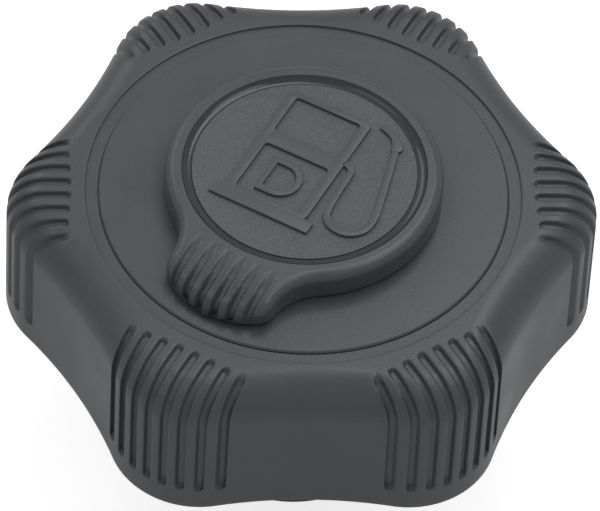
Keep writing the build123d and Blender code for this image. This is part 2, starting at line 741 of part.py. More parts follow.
os.makedirs("parts", exist_ok=True)
for name, make in PIECES.items():
    export_step(make(), f"parts/{name}.step")
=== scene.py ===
"""Looks of the fuel filler cap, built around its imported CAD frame.  Metres, the frame's own axes."""

import json
from math import asin, cos, degrees, hypot, pi, radians, sin, sqrt, tan

import bmesh
import bpy
import numpy as np
from mathutils import Matrix, Vector

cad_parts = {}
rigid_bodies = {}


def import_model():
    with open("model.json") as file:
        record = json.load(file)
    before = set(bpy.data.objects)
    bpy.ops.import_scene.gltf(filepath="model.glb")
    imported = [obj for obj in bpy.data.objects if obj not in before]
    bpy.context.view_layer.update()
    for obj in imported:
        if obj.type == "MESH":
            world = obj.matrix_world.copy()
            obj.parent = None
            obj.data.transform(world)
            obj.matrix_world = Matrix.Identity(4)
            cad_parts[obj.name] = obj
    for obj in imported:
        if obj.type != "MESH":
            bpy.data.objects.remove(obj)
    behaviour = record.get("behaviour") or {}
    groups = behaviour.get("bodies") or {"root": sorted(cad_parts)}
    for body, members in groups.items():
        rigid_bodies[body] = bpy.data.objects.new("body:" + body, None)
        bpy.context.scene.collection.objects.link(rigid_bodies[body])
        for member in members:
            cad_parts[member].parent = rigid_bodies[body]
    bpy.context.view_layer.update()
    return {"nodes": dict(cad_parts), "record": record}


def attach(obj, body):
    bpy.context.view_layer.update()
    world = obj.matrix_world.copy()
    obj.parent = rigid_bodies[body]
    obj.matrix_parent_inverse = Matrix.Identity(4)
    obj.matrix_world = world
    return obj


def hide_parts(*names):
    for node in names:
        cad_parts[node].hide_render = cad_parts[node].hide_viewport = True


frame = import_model()

MM = 0.001
FINE_TURN = 180             # points around a large turned piece, then around a small one
SMALL_TURN = 40

# Grip, in millimetres as in the frame
LOBES = 6
HALF_PITCH = 30             # degrees from a lobe's middle to the middle of a flank
TOP_Z = 63.2
SKIRT_Z = 35.0
LOBE_CENTRE_R = 34.7
LOBE_R = 15.3
FLANK_R = 43.8
DRAFT = tan(radians(1.0))
SHOULDER_R = 6.5
RIM_R = 0.6
PLATE_Z = 60.2
LOBE_WALL = 3.7
FLANK_WALL = 2.6
CAVITY_R = 3.4
CAVITY_MOUTH = 0.3          # the cavity's wall leans out by this at the rim, over MOUTH_RISE
MOUTH_RISE = 0.4
CAVITY_MID_Z = 50

# Flutes of the grip
FLUTE_PITCH = 2.92
FLUTE_HALF = 0.65           # from a flute's end to the centre of its round
FLUTE_DEPTH = 0.8
FLUTE_FLOOR = 0.42          # half width of a flute's floor, then of its mouth
FLUTE_MOUTH = 0.84
FLUTE_END_Z = 39.8
FLUTE_START_U = (38.9, 39.0, 39.2, 39.6)    # where they begin on the top, from the lobe's middle outwards
LAST_FLUTED = 11.6          # columns stay parallel to the lobe's axis out to here

# Columns and rows of the grip's mesh
ACROSS_FLUTE = (0, 0.21, 0.42, 0.505, 0.59, 0.67, 0.755, 0.84, 1.13)
FLANK_COLUMNS = 10
RIM_STEPS = 4
SHOULDER_STEPS = 18
TOP_STEPS = 22
CAVITY_STEPS = 6

# Ring groove, plate pocket and bearing of the grip
RING_R = 36.5
RING_FLOOR = 62.75
RING_LEAD = 0.12            # the groove's outer edge is broken over this width
POCKET_R = 34.34
POCKET_Z = 60.7
LEDGE_R = 31.0
LEDGE_LOW = 58.2
COLLAR_R = 38.9
COLLAR_GAP = 0.05
BEARING_R = 33.3
BEARING_OUT = 35.9
BEARING_Z = 45.0
BEARING_EDGE = 0.3
BEARING_STEP = 0.1          # the skirt's outer wall is set in to this beyond BEARING_R, from NECK_Z up
SHOULDER_Z = 50.1
NECK_Z = SHOULDER_Z + 2.6
HOOK_WINDOW = (3.4, 54.9, 57.3)     # half width, then lower and upper end
HOOK_R = 32.2
HOOK_REACH = 4.0

# Ribs and screw bosses in the cavity: outline of a rib as (distance from the axis, z)
RIB_HALF = 0.8
RIB_OUTLINE = (
    (35.0, 45.3), (35.3, 45.0), (46.0, 45.0), (46.0, 56.8), (42.6, 60.2), (38.9, 60.2), (35.0, 52.6),
)
BOSSES = 3
BOSS_AT = 41.0
BOSS_R = 3.4
BOSS_EDGE = 0.25
BOSS_HOLE_R = 1.55
BOSS_HOLE_Z = 54.5

# Lower end of the plug, whose edge the CAD bevels by CUP_EDGE
CUP_R = 19.0
CUP_EDGE = 0.8
CUP_SHORT = 0.02            # the corner stops this far short of the bevel's two edges

# Key cover
COVER_LOW = 63.6
COVER_TOP = 68.7
COVER_R = 23.2
COVER_EDGE_R = 1.7
COVER_RING = (18.75, 20.5, 0.8)     # inner and outer radius of the ring around the field, and its depth
RING_BEND = 19.1            # the ring's floor is round from here outwards
RING_ROUND = 0.8
RING_STEP = 0.16
RING_OUTSIDE = 20.75        # rows of the cover run as circles inside this radius
FIELD_DROP = 0.55
RECESS_R = 20.9
RECESS_ROOF = 66.4
RECESS_TURN = 240
BULLNOSE = (0.3, 0.8)       # round of the lower edge, on the cover and on the tab's nose
BULLNOSE_GROWS = (24.0, 29.0)       # along the tab, where it grows from the one to the other
BULLNOSE_SLOPES = (0, 22, 45, 67, 90)
OUTLINE_STEPS = (44, 30, 70, 120)   # on half the tab's tip, a corner, a blend and half the round cover
EDGE_ROWS = 14
TAB_ROWS = 60
FIELD_CIRCLES = (18.0, 14.0, 9.0, 4.0, 1.0)

# Thumb tab of the cover, drawn along +X and turned to TAB_ANGLE
TAB_ANGLE = 238
TAB_HALF_W = 9.9
TAB_TIP = 31.9
TAB_TIP_R = 15.0
TAB_CORNER_R = 3.0
TAB_BLEND_R = 10.0
TAB_CROWN = (20.6, 30.0)    # where the top starts to fall, and the radius it falls by
TAB_NOSE_R = 4.2
TAB_OVERHANG = 0.6
NOSE_U = TAB_TIP + TAB_OVERHANG - TAB_NOSE_R
STEEPEST = 0.95             # sine of the steepest slope that a channel is cut square to
CHANNELS = 6
CHANNEL_PITCH = 2.8
CHANNEL_DEPTH = (0.5, 1.25)         # on the flat of the tab, then on its nose
CHANNEL_FLOOR = 0.3         # half width of a channel's floor, then of its mouth
CHANNEL_MOUTH = 0.85
CHANNEL_FADE = (20.9, 25.5)         # where a channel begins, and where it has its depth
CHANNEL_NOSE = (26.0, 30.0)         # where it deepens towards the nose

# Under the cover: pivot boss and stop peg, as profiles of (radius, z) and places of (reach, angle)
COVER_SWING = 115
PIVOT = (18.5, 60)
PIVOT_BOSS = ((1.55, 63.5), (3.65, 63.5), (3.8, 63.65), (3.8, 66.6), (0.0, 66.6), (0.0, 66.2), (1.55, 66.2))
STOP_PEG = ((0.0, 61.9), (0.85, 61.9), (1.0, 62.05), (1.0, 66.6), (0.0, 66.6))
PEG_FROM_PIVOT = (6.5, PIVOT[1] + 180 - COVER_SWING / 2)


# ---------------------------------------------------------------- meshes
def polar(radius, angle):
    return radius * cos(radians(angle)), radius * sin(radians(angle))


def ramp(values, low, high):
    """Smooth rise from 0 at low to 1 at high."""
    x = np.clip((values - low) / (high - low), 0, 1)
    return x * x * (3 - 2 * x)


def piece(name, verts, faces, body, nodes=(), smooth_angle=40):
    """Mesh object that rides on a body of the frame; vertices in millimetres."""
    mesh = bpy.data.meshes.new(name)
    mesh.from_pydata([tuple(v) for v in np.asarray(verts) * MM], [], faces)
    mesh.validate()
    obj = bpy.data.objects.new(name, mesh)
    bpy.context.collection.objects.link(obj)
    return dress(obj, body, nodes, smooth_angle)


def dress(obj, body, nodes=(), smooth_angle=40):
    """Outward normals, smooth shading with sharp edges kept, and the piece's place in the frame."""
    bm = bmesh.new()
    bm.from_mesh(obj.data)
    bmesh.ops.remove_doubles(bm, verts=bm.verts, dist=2e-6)
    bmesh.ops.recalc_face_normals(bm, faces=bm.faces)
    limit = radians(smooth_angle)
    for face in bm.faces:
        face.smooth = True
    for edge in bm.edges:
        edge.smooth = len(edge.link_faces) == 2 and edge.calc_face_angle(0) < limit
    bm.to_mesh(obj.data)
    bm.free()
    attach(obj, body)
    if nodes:
        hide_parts(*nodes)
    return obj


def grid_faces(rows, cols, closed_rows):
    """Quads of a grid that closes around its columns, and if asked around its rows."""
    faces = []
    for r in range(rows if closed_rows else rows - 1):
        a, b = r * cols, (r + 1) % rows * cols
        for c in range(cols):
            d = (c + 1) % cols
            faces.append((a + c, a + d, b + d, b + c))
    return faces


def ring_profile(points, count):
    """Closed profile of (radius, z) points turned around the cap's axis."""
    verts = []
    for radius, z in points:
        for k in range(count):
            x, y = polar(radius, 360 * k / count)
            verts.append((x, y, z))
    return verts, grid_faces(len(points), count, True)


def turned_posts(name, posts, body):
    """One piece of several turned posts, each given as a profile and the place of its axis."""
    verts, faces = [], []
    for profile, (px, py) in posts:
        ring, quads = ring_profile(profile, SMALL_TURN)
        base = len(verts)
        verts += [(x + px, y + py, z) for x, y, z in ring]
        faces += [tuple(base + i for i in quad) for quad in quads]
    return piece(name, verts, faces, body)


# ---------------------------------------------------------------- grip outline
def hollow_radius(lobe_r, flank_r):
    """Radius of the hollow arc that is tangent to two neighbouring lobes."""
    c = LOBE_CENTRE_R
    step = sqrt(3) * c
    return (lobe_r**2 - flank_r**2 + step * flank_r - c**2) / (2 * flank_r - step - 2 * lobe_r)


class Outline:
    """One sixth of the lobed outline, set in by any distance."""

    def __init__(self, lobe_r, flank_r):
        self.lobe_r = lobe_r
        self.hollow_r = hollow_radius(lobe_r, flank_r)
        self.fx, self.fy = polar(self.hollow_r + flank_r, HALF_PITCH)
        self.spread = np.arctan2(self.fy, self.fx - LOBE_CENTRE_R)

    def at_side(self, t, inset):
        """Distance along the lobe's axis of the outline at a sideways distance t."""
        r = self.lobe_r - inset
        side = abs(t)
        if side <= r * sin(self.spread):
            return LOBE_CENTRE_R + sqrt(r * r - side * side)
        hollow = self.hollow_r + inset
        return self.fx - sqrt(hollow**2 - (side - self.fy) ** 2)

    def flank(self, fraction, inset):
        """Point between the last fluted column and the middle of the flank."""
        hollow = self.hollow_r + inset
        start = np.arctan2(LAST_FLUTED - self.fy, self.at_side(LAST_FLUTED, inset) - self.fx) % (2 * pi)
        end = radians(180 + HALF_PITCH)
        angle = start + (end - start) * fraction
        return self.fx + hollow * cos(angle), self.fy + hollow * sin(angle)


def lobe_columns():
    """Columns of half a lobe and half a flank: sideways distances, then flank fractions."""
    sides = [0.0]
    for k in range(len(FLUTE_START_U)):
        middle = (k + 0.5) * FLUTE_PITCH
        sides += [middle - step for step in ACROSS_FLUTE[:0:-1]] + [middle + step for step in ACROSS_FLUTE]
        if k < len(FLUTE_START_U) - 1:
            sides.append((k + 1) * FLUTE_PITCH)
    sides.append(LAST_FLUTED)
    fractions = [(k + 1) / FLANK_COLUMNS for k in range(FLANK_COLUMNS)]
    return sides, fractions


def flute_share(side, u, z):
    """How deep a point of the outer skin lies in a flute, 0 to 1."""
    best = 0.0
    for k, start in enumerate(FLUTE_START_U):
        across = abs(side) - (k + 0.5) * FLUTE_PITCH
        if abs(across) > FLUTE_MOUTH:
            continue
        past_top = max(0.0, start + FLUTE_HALF - u)
        past_low = max(0.0, FLUTE_END_Z + FLUTE_HALF - z)
        away = hypot(across, max(past_top, past_low))
        best = max(best, 1 - ramp(away, FLUTE_FLOOR, FLUTE_MOUTH))
    return best


def outer_rows():
    """Rows of the outer skin from rim to top: inset, z and the slope of the normal in degrees."""
    rows = []
    for k in range(RIM_STEPS + 1):
        a = -90 + 90 * k / RIM_STEPS
        rows.append((RIM_R * (1 - cos(radians(a))), SKIRT_Z + RIM_R * (1 + sin(radians(a))), max(a, 0)))
    low, high = SKIRT_Z + RIM_R, TOP_Z - SHOULDER_R
    # Few rows below the flutes, close ones around their round ends, even ones up the wall
    levels = [low + 1, low + 2, FLUTE_END_Z - 1.4, FLUTE_END_Z - 0.8]
    levels += [FLUTE_END_Z - 0.6 + 0.15 * k for k in range(14)]
    above = FLUTE_END_Z + 1.8
    levels += [above + (high - above) * k / 12 for k in range(13)]
    for z in levels:
        rows.append(((z - SKIRT_Z) * DRAFT, z, 0))
    base = (high - SKIRT_Z) * DRAFT
    for k in range(1, SHOULDER_STEPS + 1):
        a = 90 * k / SHOULDER_STEPS
        inset = base + SHOULDER_R * (1 - cos(radians(a)))
        rows.append((inset, high + SHOULDER_R * sin(radians(a)), a))
    return rows


def sixth(outline, inset, z, tilt, fluted, sides, fractions):
    """Points of one row over half a lobe and half a flank, from the lobe's axis on."""
    points = []
    for side in sides:
        u = outline.at_side(side, inset)
        depth = FLUTE_DEPTH * flute_share(side, u, z) if fluted else 0
        deep = inset + depth * cos(radians(tilt))
        points.append((outline.at_side(side, deep), side, z - depth * sin(radians(tilt))))
    for fraction in fractions:
        x, y = outline.flank(fraction, inset)
        points.append((x, y, z))
    return points


def whole_row(half):
    """Mirrors half a pitch about the lobe's axis and repeats it around the cap."""
    row = []
    mirrored = [(x, -y, z) for x, y, z in half[:0:-1]]
    pitch = (mirrored + half)[1:]
    for k in range(LOBES):
        turn = radians(360 * k / LOBES)
        c, s = cos(turn), sin(turn)
        row += [(x * c - y * s, x * s + y * c, z) for x, y, z in pitch]
    return row


def circle_half(radius, z, sides, fractions):
    """Row on a circle, with its points matched to the outline's columns."""
    points = [(sqrt(radius**2 - s * s), s, z) for s in sides]
    start = degrees(asin(LAST_FLUTED / radius))
    for fraction in fractions:
        x, y = polar(radius, start + (HALF_PITCH - start) * fraction)
        points.append((x, y, z))
    return points


def top_rows(outline, sides, fractions):
    """Rows across the grip's top, from the end of the shoulder in to the ring groove."""
    edge = sixth(outline, outer_rows()[-1][0], TOP_Z, 90, False, sides, fractions)
    ring = circle_half(RING_R + RING_LEAD, TOP_Z, sides, fractions)
    rows = []
    for k in range(1, TOP_STEPS + 1):
        f = k / TOP_STEPS
        row = []
        for index, (a, b) in enumerate(zip(edge, ring)):
            x, y = a[0] + (b[0] - a[0]) * f, a[1] + (b[1] - a[1]) * f
            depth = FLUTE_DEPTH * flute_share(y, x, TOP_Z) if index < len(sides) else 0
            row.append((x, y, TOP_Z - depth))
        rows.append(row)
    return rows


def groove_rows(sides, fractions):
    """Circles down the ring groove and the plate's pocket, then under the ledge out to the collar."""
    # The groove's edges and corners are rounded by 0.03 to 0.2
    circles = (
        (RING_R + 0.03, TOP_Z - 0.03), (RING_R, TOP_Z - 0.12), (RING_R - 0.02, RING_FLOOR + 0.08),
        (RING_R - 0.08, RING_FLOOR + 0.01), (RING_R - 0.14, RING_FLOOR), (RING_R - 0.2, RING_FLOOR),
        (POCKET_R + 0.16, RING_FLOOR), (POCKET_R + 0.1, RING_FLOOR), (POCKET_R + 0.03, RING_FLOOR - 0.03),
        (POCKET_R, RING_FLOOR - 0.1), (POCKET_R, POCKET_Z),
        (LEDGE_R, POCKET_Z), (LEDGE_R, LEDGE_LOW), (COLLAR_R, LEDGE_LOW), (COLLAR_R, PLATE_Z),
    )
    return [circle_half(radius, z, sides, fractions) for radius, z in circles]


def cavity_rows(sides, fractions):
    """Rows of the cavity from its roof down to the rim, kept outside the collar that meets the flanks."""
    inner = Outline(LOBE_R - LOBE_WALL, FLANK_R - FLANK_WALL)
    high = PLATE_Z - CAVITY_R
    base = (high - SKIRT_Z) * DRAFT
    levels = []
    for k in range(CAVITY_STEPS + 1):
        a = radians(90 - 90 * k / CAVITY_STEPS)
        levels.append((base + CAVITY_R * (1 - cos(a)), high + CAVITY_R * sin(a)))
    for z in (CAVITY_MID_Z, SKIRT_Z + MOUTH_RISE):
        levels.append(((z - SKIRT_Z) * DRAFT, z))
    levels.append((-CAVITY_MOUTH, SKIRT_Z))
    rows = []
    for inset, z in levels:
        row = []
        for x, y, height in sixth(inner, inset, z, 0, False, sides, fractions):
            push = max(1.0, (COLLAR_R + COLLAR_GAP) / hypot(x, y))
            row.append((x * push, y * push, height))
        rows.append(row)
    return rows


# ---------------------------------------------------------------- grip
def build_grip():
    """Knob with its fluted lobes, ring groove, plate pocket and cavity."""
    outer = Outline(LOBE_R, FLANK_R)
    sides, fractions = lobe_columns()
    rows = [sixth(outer, inset, z, tilt, True, sides, fractions) for inset, z, tilt in outer_rows()]
    rows += top_rows(outer, sides, fractions)
    rows += groove_rows(sides, fractions)
    rows += cavity_rows(sides, fractions)
    verts = [point for row in rows for point in whole_row(row)]
    faces = grid_faces(len(rows), len(verts) // len(rows), True)
    piece("grip_moulding", verts, faces, "grip", ("grip_shell",), smooth_angle=55)


def build_bearing():
    """Bearing skirt inside the grip, with windows for the plate's hooks."""
    neck_r = BEARING_R + BEARING_STEP
    points = (
        (LEDGE_R, LEDGE_LOW), (LEDGE_R, SHOULDER_Z), (BEARING_R, SHOULDER_Z),
        (BEARING_R, BEARING_Z + BEARING_EDGE), (BEARING_R + BEARING_EDGE, BEARING_Z),
        (BEARING_OUT - BEARING_EDGE, BEARING_Z), (BEARING_OUT, BEARING_Z + BEARING_EDGE),
        (BEARING_OUT, NECK_Z), (neck_r, NECK_Z), (neck_r, LEDGE_LOW),
    )
    verts, faces = ring_profile(points, FINE_TURN)
    obj = piece("grip_bearing", verts, faces, "grip")
    tool = window_cutter()
    cut = obj.modifiers.new("windows", "BOOLEAN")
    cut.operation = "DIFFERENCE"
    cut.solver = "EXACT"
    cut.object = tool
    bake_modifiers(obj)
    bpy.data.objects.remove(tool)


def window_cutter():
    """Boxes where the plate's hooks reach through the bearing skirt."""
    half, low, high = HOOK_WINDOW
    boxes = bmesh.new()
    for k in range(LOBES):
        turn = Matrix.Rotation(radians(HALF_PITCH + 360 * k / LOBES), 4, "Z")
        place = turn @ Matrix.Translation((HOOK_R * MM, 0, (low + high) / 2 * MM))
        size = Matrix.Diagonal((HOOK_REACH * MM, 2 * half * MM, (high - low) * MM, 1))
        bmesh.ops.create_cube(boxes, size=1, matrix=place @ size)
    mesh = bpy.data.meshes.new("window_cutter")
    boxes.to_mesh(mesh)
    boxes.free()
    tool = bpy.data.objects.new("window_cutter", mesh)
    bpy.context.collection.objects.link(tool)
    return tool


def bake_modifiers(obj):
    """Replaces the object's mesh by the one its modifiers give."""
    graph = bpy.context.evaluated_depsgraph_get()
    mesh = bpy.data.meshes.new_from_object(obj.evaluated_get(graph))
    obj.modifiers.clear()
    obj.data = mesh


def build_cup_edge():
    """Crisp lower corner of the plug, which shows under the skirt."""
    inside = CUP_R - CUP_EDGE + CUP_SHORT
    high = CUP_EDGE - CUP_SHORT
    section = (
        (inside, 0.0), (CUP_R - 0.1, 0.0), (CUP_R - 0.03, 0.03), (CUP_R, 0.1), (CUP_R, high),
        (CUP_R - 0.4, high), (inside, 0.4), (inside, 0.0),
    )
    verts, faces = ring_profile(section, FINE_TURN)
    piece("plug_corner", verts, faces, "closure")


def build_ribs():
    """Flat ribs in the grip's cavity, one on each lobe's axis."""
    verts, faces = [], []
    n = len(RIB_OUTLINE)
    for k in range(LOBES):
        turn = Matrix.Rotation(radians(360 * k / LOBES), 3, "Z")
        base = len(verts)
        for y in (-RIB_HALF, RIB_HALF):
            verts += [tuple(turn @ Vector((u, y, z))) for u, z in RIB_OUTLINE]
        faces.append(tuple(base + i for i in range(n)))
        faces.append(tuple(base + n + i for i in reversed(range(n))))
        for i in range(n):
            after = (i + 1) % n
            faces.append((base + i, base + n + i, base + n + after, base + after))
    piece("grip_ribs", verts, faces, "grip")


def build_bosses():
    """Bosses in the cavity that take the ring screws."""
    profile = (
        (BOSS_HOLE_R, BOSS_HOLE_Z), (BOSS_HOLE_R, BEARING_Z + BOSS_EDGE),
        (BOSS_HOLE_R + BOSS_EDGE, BEARING_Z), (BOSS_R - BOSS_EDGE, BEARING_Z),
        (BOSS_R, BEARING_Z + BOSS_EDGE), (BOSS_R, PLATE_Z), (0.0, PLATE_Z), (0.0, BOSS_HOLE_Z),
    )
    posts = [(profile, polar(BOSS_AT, 360 * k / BOSSES)) for k in range(BOSSES)]
    turned_posts("grip_bosses", posts, "grip")


# ---------------------------------------------------------------- key cover
def arc_points(cx, cy, radius, start, end, steps):
    """Points along an arc with both its ends; angles in radians."""
    angles = [start + (end - start) * k / steps for k in range(steps + 1)]
    return [(cx + radius * cos(a), cy + radius * sin(a)) for a in angles]


def cover_polyline():
    """Outline of the cover with its tab along +X, from the tip round to the far side and back."""
    tip_c = TAB_TIP - TAB_TIP_R
    # Corner arc: tangent to the tip arc inside it and to the side line
    cy = TAB_HALF_W - TAB_CORNER_R
    reach = TAB_TIP_R - TAB_CORNER_R
    cx = tip_c + sqrt(reach**2 - cy**2)
    lean = np.arctan2(cy, cx - tip_c)
    # Hollow blend: outside the round cover and outside the side line
    by = TAB_HALF_W + TAB_BLEND_R
    bx = sqrt((COVER_R + TAB_BLEND_R) ** 2 - by**2)
    meet = np.arctan2(by, bx)
    on_tip, on_corner, on_blend, on_round = OUTLINE_STEPS
    half = arc_points(tip_c, 0, TAB_TIP_R, 0, lean, on_tip)
    half += arc_points(cx, cy, TAB_CORNER_R, lean, pi / 2, on_corner)[1:]
    half += arc_points(bx, by, TAB_BLEND_R, -pi / 2, -(pi - meet), on_blend)
    half += arc_points(0, 0, COVER_R, meet, pi, on_round)[1:]
    mirrored = [(x, -y) for x, y in half[-2:0:-1]]
    return np.array(half + mirrored)


def tab_top(u):
    """Height of the cover's top along the tab's axis."""
    start, crown = TAB_CROWN
    centre = COVER_TOP - crown
    lean = asin((NOSE_U - start) / (crown - TAB_NOSE_R))
    nose_z = centre + (crown - TAB_NOSE_R) * cos(lean)
    on_crown = centre + np.sqrt(np.maximum(crown**2 - np.maximum(u - start, 0) ** 2, 0))
    on_nose = nose_z + np.sqrt(np.maximum(TAB_NOSE_R**2 - np.maximum(u - NOSE_U, 0) ** 2, 0))
    return np.where(u < start + crown * sin(lean), on_crown, on_nose)


def channel_depth(u, side):
    """How far a point of the tab lies below the ribs' tops."""
    last = (CHANNELS - 1) / 2
    nearest = (np.clip(np.round(side / CHANNEL_PITCH + last), 0, CHANNELS - 1) - last) * CHANNEL_PITCH
    off = np.abs(side - nearest)
    flat, nose = CHANNEL_DEPTH
    deep = flat * ramp(u, *CHANNEL_FADE) + (nose - flat) * ramp(u, *CHANNEL_NOSE)
    return deep * (1 - ramp(off, CHANNEL_FLOOR, CHANNEL_MOUTH))


def edge_distance(points, outline):
    """Distance of each point to the closed outline."""
    segments = np.roll(outline, -1, axis=0) - outline
    offset = points[:, None, :] - outline[None, :, :]
    along = np.clip((offset * segments[None]).sum(axis=2) / (segments**2).sum(axis=1)[None], 0, 1)
    gap = offset - along[:, :, None] * segments[None]
    return np.sqrt((gap**2).sum(axis=2)).min(axis=1)


def cover_point(points, outline):
    """Top skin of the cover above plan points: rounded edge, ring, field and channels."""
    u, side = points[:, 0], points[:, 1]
    radius = np.hypot(u, side)
    inner = np.maximum(COVER_EDGE_R - edge_distance(points, outline), 0)
    drop = COVER_EDGE_R - np.sqrt(np.maximum(COVER_EDGE_R**2 - inner**2, 0))
    z = np.where(u > 0, tab_top(u), COVER_TOP) - drop
    low, high, deep = COVER_RING
    rise = np.clip((radius - RING_BEND) / (high - RING_BEND), 0, 1)
    z -= deep * ramp(radius, low, low + RING_STEP) * (1 - rise**2) ** RING_ROUND
    z -= FIELD_DROP * (1 - ramp(radius, low, low + RING_STEP))
    lean = np.arcsin(np.clip((u - TAB_CROWN[0]) / TAB_CROWN[1], 0, 1))
    lean = np.maximum(lean, np.arcsin(np.clip((u - NOSE_U) / TAB_NOSE_R, 0, STEEPEST)))
    cut = channel_depth(u, side)
    return np.stack([u - cut * np.sin(lean), side, z - cut * np.cos(lean)], axis=1)


def cover_radii(outline):
    """Radii of the top's rows above each point of the outline, from the edge in to the middle."""
    low, high = COVER_RING[:2]
    reach = np.hypot(outline[:, 0], outline[:, 1])
    bands = [reach - COVER_EDGE_R * (1 - cos(radians(90 * k / EDGE_ROWS))) for k in range(EDGE_ROWS + 1)]
    last = bands[-1]
    bands += [last + (RING_OUTSIDE - last) * k / TAB_ROWS for k in range(1, TAB_ROWS + 1)]
    circles = [*np.linspace(RING_OUTSIDE, high + 0.04, 4)[1:], *np.linspace(high, RING_BEND, 16)]
    circles += [*np.linspace(RING_BEND, low + RING_STEP, 3)[1:], *np.linspace(low + RING_STEP, low, 6)[1:]]
    circles += [low - 0.05, *FIELD_CIRCLES]
    return bands + [np.full(len(outline), radius) for radius in circles]


def cover_underside(outline, base):
    """Rounded lower edge, flat rim and recess of the cover; its first vertex has the number base."""
    count = len(outline)
    verts, rings = [], []
    small, large = BULLNOSE
    round_r = small + (large - small) * ramp(outline[:, 0], *BULLNOSE_GROWS)
    for slope in np.radians(BULLNOSE_SLOPES):
        rings.append(base + len(verts))
        rim = outline * (1 - round_r * (1 - cos(slope)) / COVER_R)[:, None]
        heights = COVER_LOW + round_r * (1 - sin(slope))
        verts += [(x, y, z) for (x, y), z in zip(rim, heights)]
    # The first ring hangs from row 0 of the top
    faces = [(c, rings[0] + c, rings[0] + (c + 1) % count, (c + 1) % count) for c in range(count)]
    for a, b in zip(rings, rings[1:]):
        faces += [(a + c, b + c, b + (c + 1) % count, a + (c + 1) % count) for c in range(count)]
    recess = [polar(RECESS_R, 360 * c / RECESS_TURN) for c in range(RECESS_TURN)]
    rim_start = base + len(verts)
    verts += [(x, y, COVER_LOW) for x, y in recess]
    faces += bridge_faces(outline, rings[-1], RECESS_TURN, rim_start)
    roof = base + len(verts)
    verts += [(x, y, RECESS_ROOF) for x, y in recess]
    for c in range(RECESS_TURN):
        after = (c + 1) % RECESS_TURN
        faces.append((rim_start + c, roof + c, roof + after, rim_start + after))
    faces.append(tuple(roof + c for c in range(RECESS_TURN)))
    return verts, faces


def bridge_faces(outline, first, m, base):
    """Triangles between the outline's ring, from vertex first, and a circle of m points, from vertex base."""
    n = len(outline)
    angles_a = np.unwrap(np.arctan2(outline[:, 1], outline[:, 0]))
    angles_b = np.array([2 * pi * c / m for c in range(m)])
    faces = []
    a, b = 0, 0
    while a < n or b < m:
        next_a = angles_a[a + 1] if a + 1 < n else 2 * pi
        next_b = angles_b[b + 1] if b + 1 < m else 2 * pi
        if b >= m or (a < n and next_a <= next_b):
            faces.append((first + a % n, first + (a + 1) % n, base + b % m))
            a += 1
        else:
            faces.append((first + a % n, base + (b + 1) % m, base + b % m))
            b += 1
    return faces


def build_cover():
    """Round cover with its thumb tab, ring and field."""
    outline = cover_polyline()
    count = len(outline)
    radii = cover_radii(outline)
    away = outline / np.hypot(outline[:, 0], outline[:, 1])[:, None]
    verts = []
    for radius in radii:
        verts += [tuple(v) for v in cover_point(away * radius[:, None], outline)]
    faces = grid_faces(len(radii), count, False)
    faces.append(tuple(range((len(radii) - 1) * count, len(radii) * count)))
    low_verts, low_faces = cover_underside(outline, len(verts))
    turn = Matrix.Rotation(radians(TAB_ANGLE), 3, "Z")
    verts = [tuple(turn @ Vector(v)) for v in verts + low_verts]
    faces += low_faces
    cover = piece("key_cover_moulding", verts, faces, "cover", ("key_cover",), smooth_angle=38)
    for look in (MATERIALS["cap_plastic"], FIELD, RING_PAINTED_SHADE_LOOK):
        cover.data.materials.append(look)
    for face in cover.data.polygons:
        # Faces of the field get the field look; faces of the ring get the glossy ring look, darkened with
        # painted shade
        radius = hypot(face.center.x, face.center.y) / MM
        if face.center.z > (COVER_TOP - 1.0) * MM and radius < COVER_RING[1]:
            face.material_index = 1 if radius < COVER_RING[0] else 2


def build_cover_post():
    """Pivot boss and stop peg under the cover."""
    px, py = polar(*PIVOT)
    dx, dy = polar(*PEG_FROM_PIVOT)
    posts = [(PIVOT_BOSS, (px, py)), (STOP_PEG, (px + dx, py + dy))]
    turned_posts("key_cover_post", posts, "cover")


# ---------------------------------------------------------------- materials
CLOUD_SCALE = 90
METAL_GRAIN = 2500
PLASTIC_IOR = 1.48


def plastic(name, color, rough, grain, height, mottle=0.04, fleck=0.06):
    """Moulded plastic: faint cloudiness, uneven sheen and a grain whose height is in millimetres."""
    mat = bpy.data.materials.new(name)
    mat.use_nodes = True
    nodes, links = mat.node_tree.nodes, mat.node_tree.links
    shader = nodes["Principled BSDF"]
    coord = nodes.new("ShaderNodeTexCoord")

    def noise(scale, detail, roughness=0.5):
        node = nodes.new("ShaderNodeTexNoise")
        node.inputs["Scale"].default_value = scale
        node.inputs["Detail"].default_value = detail
        node.inputs["Roughness"].default_value = roughness
        links.new(coord.outputs["Object"], node.inputs["Vector"])
        return node

    def spread(source, low, high):
        node = nodes.new("ShaderNodeMapRange")
        node.inputs["From Min"].default_value = 0.3
        node.inputs["From Max"].default_value = 0.7
        node.inputs["To Min"].default_value = low
        node.inputs["To Max"].default_value = high
        links.new(source, node.inputs["Value"])
        return node.outputs["Result"]

    cloud = noise(CLOUD_SCALE, 3)
    speck = noise(grain, 2, 0.6)
    tint = nodes.new("ShaderNodeMix")
    tint.data_type = "RGBA"
    tint.blend_type = "MULTIPLY"
    tint.inputs["Factor"].default_value = 1
    tint.inputs[6].default_value = (*color, 1)
    mixed = nodes.new("ShaderNodeMath")
    mixed.operation = "MULTIPLY"
    links.new(spread(cloud.outputs["Fac"], 1 - mottle, 1 + mottle), mixed.inputs[0])
    links.new(spread(speck.outputs["Fac"], 1 - fleck, 1 + fleck), mixed.inputs[1])
    links.new(mixed.outputs["Value"], tint.inputs[7])
    links.new(tint.outputs[2], shader.inputs["Base Color"])
    links.new(spread(cloud.outputs["Fac"], rough - 0.05, rough + 0.05), shader.inputs["Roughness"])
    bump = nodes.new("ShaderNodeBump")
    bump.inputs["Strength"].default_value = 1
    bump.inputs["Distance"].default_value = height * MM
    links.new(speck.outputs["Fac"], bump.inputs["Height"])
    links.new(bump.outputs["Normal"], shader.inputs["Normal"])
    shader.inputs["IOR"].default_value = PLASTIC_IOR
    return mat


